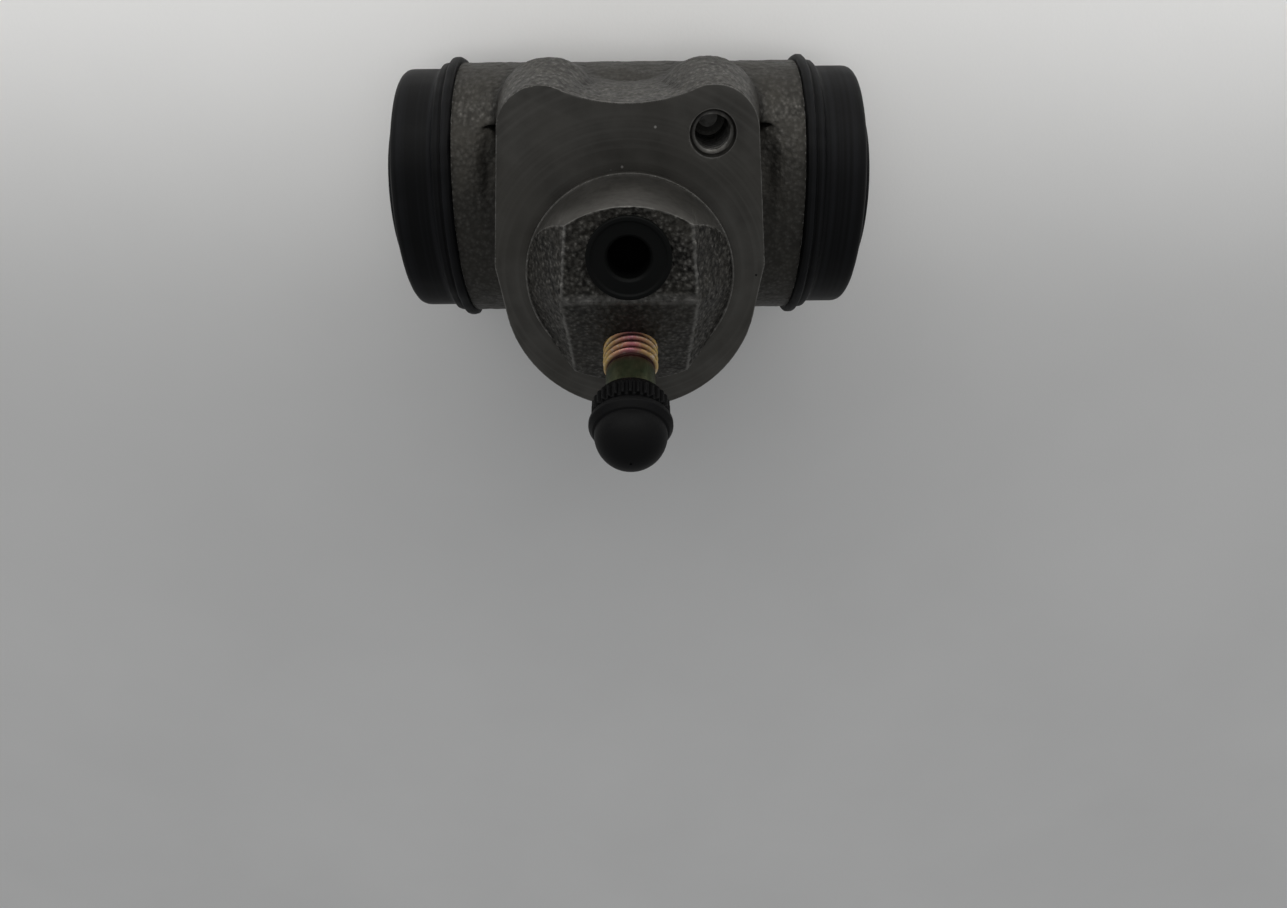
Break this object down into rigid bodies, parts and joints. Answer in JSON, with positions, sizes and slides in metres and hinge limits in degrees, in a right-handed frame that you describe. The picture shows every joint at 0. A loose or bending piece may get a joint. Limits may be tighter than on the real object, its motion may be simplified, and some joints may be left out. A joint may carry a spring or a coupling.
{
  "type": "drum brake wheel cylinder",
  "caption": "Double-ended hydraulic wheel cylinder for a drum brake: iron barrel on a lobed mounting pad, pilot boss with inlet port and bleed screw, rubber end boots.",
  "frame": {"origin": "centre of the machined pilot on the plane of the mounting face", "axes": "+X along the bore, +Y towards the two lobes with the fixing hole, +Z out of the mounting face"},
  "size_m": [0.0756, 0.0511, 0.0768],
  "materials": {
    "cast_iron": "rough as-cast iron with machined faces",
    "boot_rubber": "satin black moulded rubber",
    "cup_rubber": "smooth black rubber",
    "cap_rubber": "matt black rubber",
    "plug_rubber": "matt black rubber",
    "yellow_zinc": "yellow passivated zinc plating with pink and green colours",
    "piston_aluminium": "turned aluminium",
    "spring_steel": "bright drawn wire and sheet"
  },
  "bodies": {
    "housing": {"cylinder_body": "cast_iron", "left_dust_boot": "boot_rubber", "right_dust_boot": "boot_rubber", "return_spring": "spring_steel"},
    "left_plunger": {"left_piston": "piston_aluminium", "left_cup_seal": "cup_rubber", "left_cup_expander": "spring_steel"},
    "right_plunger": {"right_piston": "piston_aluminium", "right_cup_seal": "cup_rubber", "right_cup_expander": "spring_steel"},
    "bleeder": {"bleeder_screw": "yellow_zinc"},
    "bleeder_cover": {"bleeder_cap": "cap_rubber"},
    "port_plug": {"inlet_port_plug": "plug_rubber"}
  },
  "joints": [
    {"name": "left_piston_slide", "type": "slide", "parent": "housing", "child": "left_plunger", "axis": [1, 0, 0], "range_m": [0, 0.007], "stiffness_N_per_m": 400, "springref_m": -0.01, "deforming": ["return_spring"]},
    {"name": "right_piston_slide", "type": "slide", "parent": "housing", "child": "right_plunger", "axis": [-1, 0, 0], "range_m": [0, 0.007], "stiffness_N_per_m": 400, "springref_m": -0.01, "deforming": ["return_spring"]},
    {"name": "bleeder_turn", "type": "hinge", "parent": "housing", "child": "bleeder", "pos_m": [0, -0.0072, 0.01009], "axis": [0, -0.342, 0.9397], "range_deg": [0, 360]},
    {"name": "bleeder_cap_pull", "type": "slide", "parent": "bleeder", "child": "bleeder_cover", "axis": [0, -0.342, 0.9397], "range_m": [0, 0.015]},
    {"name": "port_plug_pull", "type": "slide", "parent": "housing", "child": "port_plug", "axis": [0, 0, 1], "range_m": [0, 0.025]}
  ]
}
